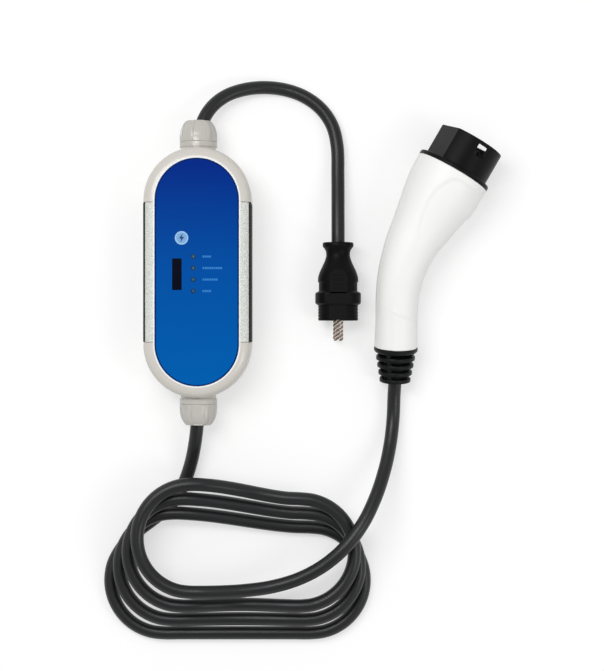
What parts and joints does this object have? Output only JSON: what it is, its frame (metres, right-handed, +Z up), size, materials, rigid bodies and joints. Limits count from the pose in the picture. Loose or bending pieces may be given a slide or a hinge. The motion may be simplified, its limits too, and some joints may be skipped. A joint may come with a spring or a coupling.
{
  "type": "portable ev charger",
  "caption": "Portable electric-vehicle charger: capsule control box with blue panel, short mains lead with round-pin plug, and coiled cable to a D-faced vehicle connector.",
  "frame": {"origin": "middle of the control box's back face, which lies on the floor", "axes": "+Z up, out of the box's front panel; +Y along the box towards the mains gland; +X towards the plug and the connector"},
  "size_m": [0.3726, 0.5284, 0.0718],
  "materials": {
    "housing": "satin",
    "panel": "satin",
    "window": "gloss",
    "light_lens": "gloss",
    "trim": "satin",
    "grip_rubber": "matt",
    "seal_rubber": "matt",
    "gland": "satin",
    "cable": "satin",
    "plug_rubber": "matt",
    "contact_metal": "polished",
    "earth_metal": "plain",
    "screw_steel": "plain",
    "handle_white": "satin",
    "head_black": "gloss",
    "carrier_black": "satin",
    "boot_rubber": "matt",
    "board": "satin",
    "electronics": "satin",
    "terminal": "satin",
    "core": "satin"
  },
  "bodies": {
    "root": {"rear_housing": "housing", "front_housing": "housing", "housing_gasket": "seal_rubber", "front_panel": "panel", "display_window": "window", "status_lights": "light_lens", "left_trim_strip": "trim", "right_trim_strip": "trim", "left_side_grip": "grip_rubber", "right_side_grip": "grip_rubber", "housing_screws": "screw_steel", "main_board": "board", "board_screws": "screw_steel", "display_board": "board", "display_module": "electronics", "power_relays": "electronics", "leakage_sensor": "electronics", "supply_module": "electronics", "control_chips": "electronics", "line_fuse": "electronics", "surge_absorber": "electronics", "capacitor": "electronics", "mains_terminals": "terminal", "vehicle_terminals": "terminal", "mains_cores": "core", "vehicle_cores": "core", "mains_gland_body": "gland", "mains_gland_seal": "seal_rubber", "mains_gland_nut": "gland", "mains_gland_locknut": "gland", "vehicle_gland_body": "gland", "vehicle_gland_seal": "seal_rubber", "vehicle_gland_nut": "gland", "vehicle_gland_locknut": "gland", "mains_cord": "cable", "plug_body": "plug_rubber", "plug_insert": "carrier_black", "plug_pins": "contact_metal", "plug_earth_clips": "earth_metal", "vehicle_cord_box_end": "cable", "vehicle_coil": "cable", "vehicle_cord_connector_end": "cable", "handle_near_shell": "handle_white", "handle_far_shell": "handle_white", "handle_screws": "screw_steel", "connector_head": "head_black", "contact_carrier": "carrier_black", "power_contacts": "contact_metal", "signal_contacts": "contact_metal", "cable_clamp": "carrier_black", "strain_relief": "boot_rubber"}
  },
  "joints": []
}
